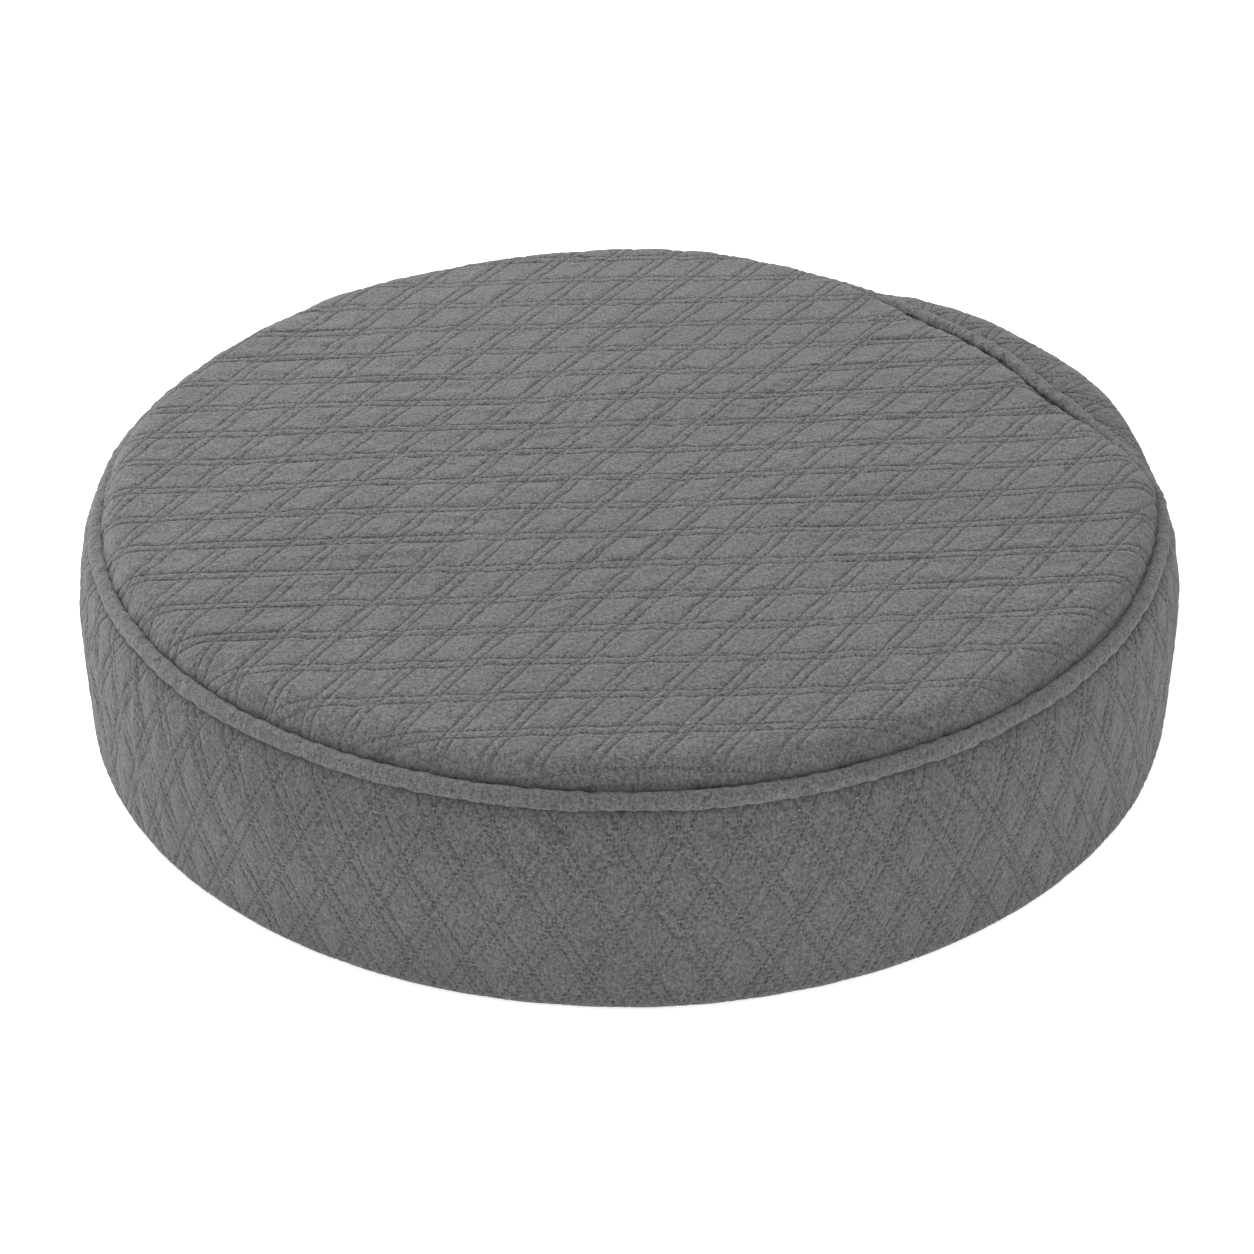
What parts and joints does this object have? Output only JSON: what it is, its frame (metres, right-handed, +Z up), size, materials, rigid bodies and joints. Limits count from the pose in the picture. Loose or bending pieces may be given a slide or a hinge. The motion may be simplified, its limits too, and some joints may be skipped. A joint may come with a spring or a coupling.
{
  "type": "kneeling pad",
  "caption": "Round boxed kneeling pad: quilted cover with a piped top edge over a foam cushion, non-slip underside, and a zip round the back of the side band.",
  "frame": {"origin": "middle of the flat underside, on the ground", "axes": "+Z up, through the middle of the round top; -Y to the front; the zip runs round the back, from the back towards -X"},
  "size_m": [0.4064, 0.4081, 0.0889],
  "materials": {
    "cover_fabric": "soft quilted marl, matt",
    "wadding": "white polyester wadding",
    "backing": "thin scrim",
    "piping_cord": "twisted soft cord",
    "base_fabric": "dense non-slip cloth, matt",
    "grip_dots": "soft silicone, satin",
    "zip_tape": "woven tape",
    "zip_coil": "nylon coil, satin",
    "zip_metal": "plated, satin",
    "liner": "thin knitted liner",
    "foam": "open-cell foam"
  },
  "bodies": {
    "pad": {"top_face": "cover_fabric", "top_wadding": "wadding", "top_backing": "backing", "band_face": "cover_fabric", "band_wadding": "wadding", "band_backing": "backing", "zip_strip_upper": "cover_fabric", "zip_strip_lower": "cover_fabric", "zip_strip_wadding": "wadding", "zip_strip_backing": "backing", "piping_cover": "cover_fabric", "piping_cord": "piping_cord", "base_panel": "base_fabric", "grip_dots": "grip_dots", "foam_liner": "liner", "support_foam": "foam", "comfort_foam": "foam", "zip_tape_upper": "zip_tape", "zip_tape_lower": "zip_tape", "zip_coil_upper": "zip_coil", "zip_coil_lower": "zip_coil", "zip_closed_stops": "zip_metal", "zip_open_stop": "zip_metal", "zip_end_tabs": "cover_fabric"},
    "slider": {"zip_slider": "zip_metal"},
    "pull": {"zip_pull": "zip_metal"}
  },
  "joints": [
    {"name": "zip_run", "type": "hinge", "parent": "pad", "child": "slider", "pos_m": [0, 0, 0.036], "axis": [0, 0, 1], "range_deg": [0, 82]},
    {"name": "pull_swing", "type": "hinge", "parent": "slider", "child": "pull", "pos_m": [0.0214, 0.20187, 0.036], "axis": [0, 0, -1], "range_deg": [0, 165]}
  ]
}
